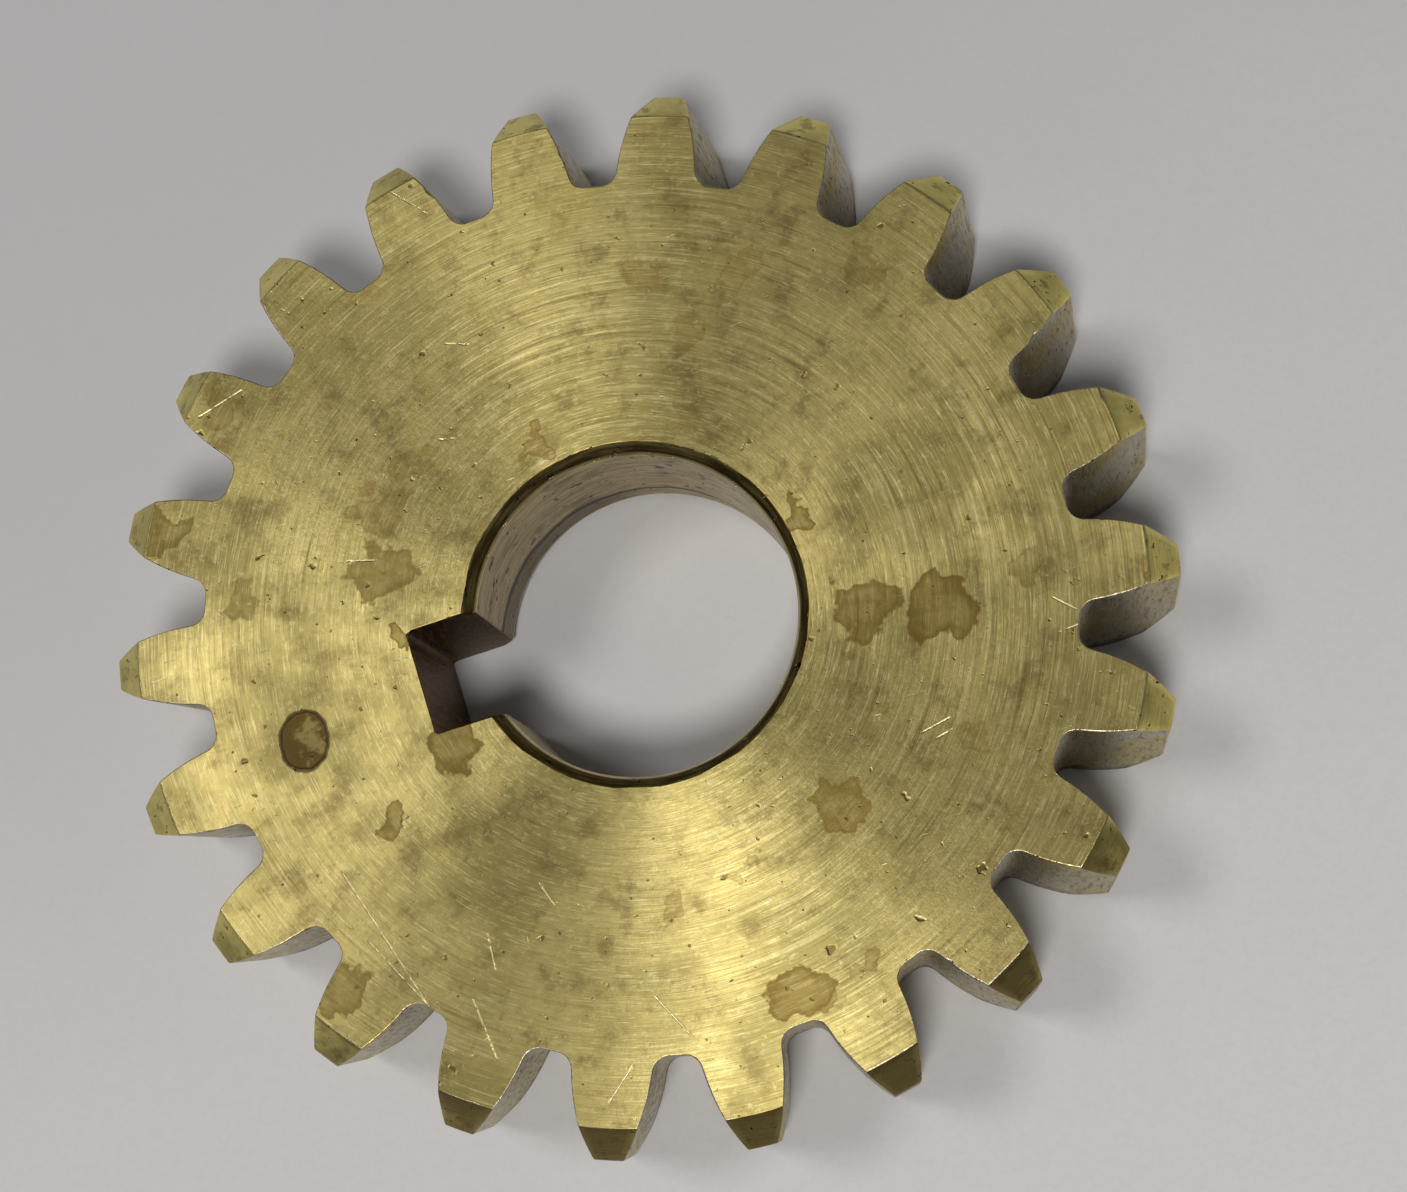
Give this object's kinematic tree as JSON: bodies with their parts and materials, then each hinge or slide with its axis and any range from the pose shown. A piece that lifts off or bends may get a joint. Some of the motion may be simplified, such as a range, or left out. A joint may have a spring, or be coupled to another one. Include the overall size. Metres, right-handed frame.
{
  "type": "worm wheel",
  "caption": "One-piece bronze worm wheel with right-hand teeth cut straight across the rim, chamfered tooth tips, a plain chamfered bore and one keyway.",
  "frame": {"origin": "on the bore axis, halfway through the face width", "axes": "+Z along the bore axis, out of the face that the picture shows; -X through the middle of the keyway"},
  "size_m": [0.05, 0.05, 0.009],
  "materials": {
    "bronze": "turned and tarnished"
  },
  "bodies": {
    "root": {"worm_wheel": "bronze"}
  },
  "joints": []
}
